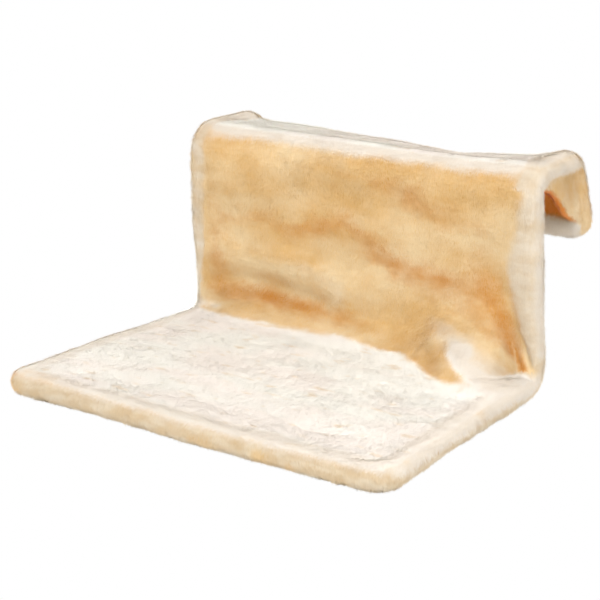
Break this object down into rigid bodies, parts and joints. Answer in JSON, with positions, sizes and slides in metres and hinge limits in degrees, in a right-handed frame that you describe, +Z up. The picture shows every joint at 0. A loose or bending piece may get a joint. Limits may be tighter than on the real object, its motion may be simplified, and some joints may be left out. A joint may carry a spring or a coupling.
{
  "type": "radiator cat bed",
  "caption": "Bed for a cat that hangs over a radiator by a sliding hook: a bent tube frame in a plush cover, with a flat seat and a back.",
  "frame": {"origin": "on the floor plane under the middle of the whole bed, level with the underside of the seat's rim", "axes": "+X to the right along the bed's length, +Y towards the radiator, from the seat's front to the hook, +Z up"},
  "size_m": [0.45, 0.414, 0.2355],
  "materials": {
    "frame_steel": "satin off-white powder coat",
    "hook_steel": "bright zinc plate",
    "zinc_fasteners": "bright zinc plate",
    "plush": "short-pile plush, cream to warm beige with the lie of the pile",
    "lining": "plain matt woven cloth",
    "closure_tape": "hook and loop tape"
  },
  "bodies": {
    "bed": {"seat_frame_tube": "frame_steel", "left_side_tube": "frame_steel", "right_side_tube": "frame_steel", "top_crossbar": "frame_steel", "seat_joint_screws": "zinc_fasteners", "seat_joint_nuts": "zinc_fasteners", "hook_lock_screws": "zinc_fasteners", "hook_lock_nuts": "frame_steel", "seat_back_plush": "plush", "seat_lining": "lining", "back_lining": "lining", "top_plush": "plush", "top_lining": "lining", "closure_loop_strip": "closure_tape", "closure_hook_strip": "closure_tape"},
    "hook": {"hook_frame_tube": "hook_steel", "flap_plush": "plush", "flap_inner_panel": "plush"}
  },
  "joints": [
    {"name": "hook_depth_slide", "type": "slide", "parent": "bed", "child": "hook", "axis": [0, 1, 0], "range_m": [0, 0.025], "deforming": ["top_plush", "top_lining"]}
  ]
}
